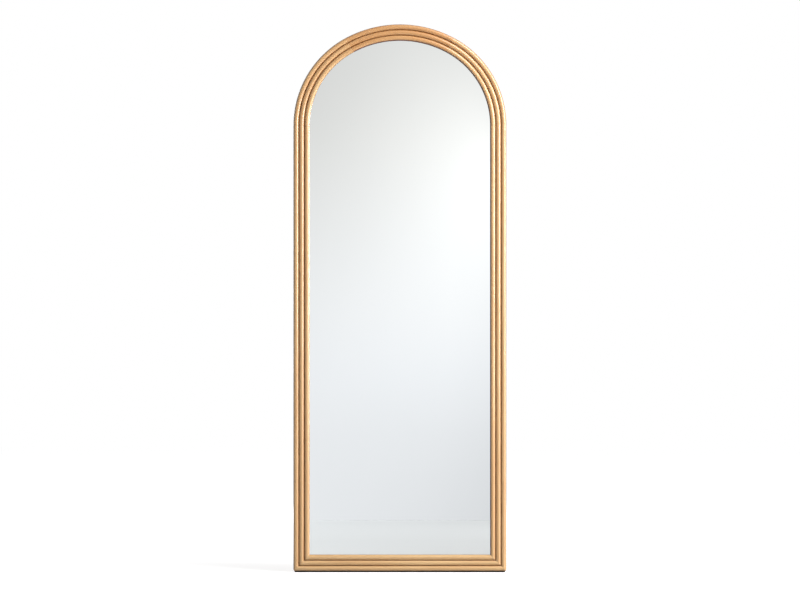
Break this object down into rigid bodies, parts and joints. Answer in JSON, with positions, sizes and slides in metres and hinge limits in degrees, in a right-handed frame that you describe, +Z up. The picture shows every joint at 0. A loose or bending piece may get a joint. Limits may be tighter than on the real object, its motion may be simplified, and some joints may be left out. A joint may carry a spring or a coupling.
{
  "type": "leaning floor mirror",
  "caption": "Tall arched floor mirror that leans on a wall: reeded wooden frame with a round top and mitred lower corners, flat silvered pane, screwed back and swinging ring hangers.",
  "frame": {"origin": "on the floor, at the middle of the width and of the whole depth with the wall bumpers", "axes": "+Z up the mirror, +X to the right as seen from the front, -Y the way the pane faces"},
  "size_m": [0.711, 0.038, 1.829],
  "materials": {
    "frame_wood": "satin clear lacquer over honey-coloured wood",
    "joinery_wood": "raw planed wood",
    "silvered_glass": "polished, silvered behind",
    "fibreboard": "raw pressed fibre",
    "foam_tape": "fine closed foam",
    "black_rubber": "matt",
    "zinc_steel": "bright zinc plate"
  },
  "bodies": {
    "mirror": {"stile_left": "frame_wood", "stile_right": "frame_wood", "bottom_rail": "frame_wood", "haunch_left": "frame_wood", "haunch_right": "frame_wood", "crown": "frame_wood", "spring_dowels_left": "joinery_wood", "spring_dowels_right": "joinery_wood", "crown_dowels_left": "joinery_wood", "crown_dowels_right": "joinery_wood", "corner_spline_left": "joinery_wood", "corner_spline_right": "joinery_wood", "mirror_pane": "silvered_glass", "backing_board": "fibreboard", "mounting_tape_1": "foam_tape", "mounting_tape_2": "foam_tape", "mounting_tape_3": "foam_tape", "setting_block_left": "black_rubber", "setting_block_right": "black_rubber", "bumper_upper_left": "black_rubber", "bumper_upper_right": "black_rubber", "bumper_lower_left": "black_rubber", "bumper_lower_right": "black_rubber", "floor_strip": "black_rubber", "hanger_strap_left": "zinc_steel", "hanger_strap_right": "zinc_steel", "hanger_screws_left": "zinc_steel", "hanger_screws_right": "zinc_steel", "backing_screws": "zinc_steel"},
    "ring_left": {"hanger_ring_left": "zinc_steel"},
    "ring_right": {"hanger_ring_right": "zinc_steel"}
  },
  "joints": [
    {"name": "ring_left_swing", "type": "hinge", "parent": "mirror", "child": "ring_left", "pos_m": [-0.3395, 0.01616, 1.43189], "axis": [1, 0, 0], "range_deg": [0, 180]},
    {"name": "ring_right_swing", "type": "hinge", "parent": "mirror", "child": "ring_right", "pos_m": [0.3395, 0.01616, 1.43189], "axis": [1, 0, 0], "range_deg": [0, 180]}
  ]
}
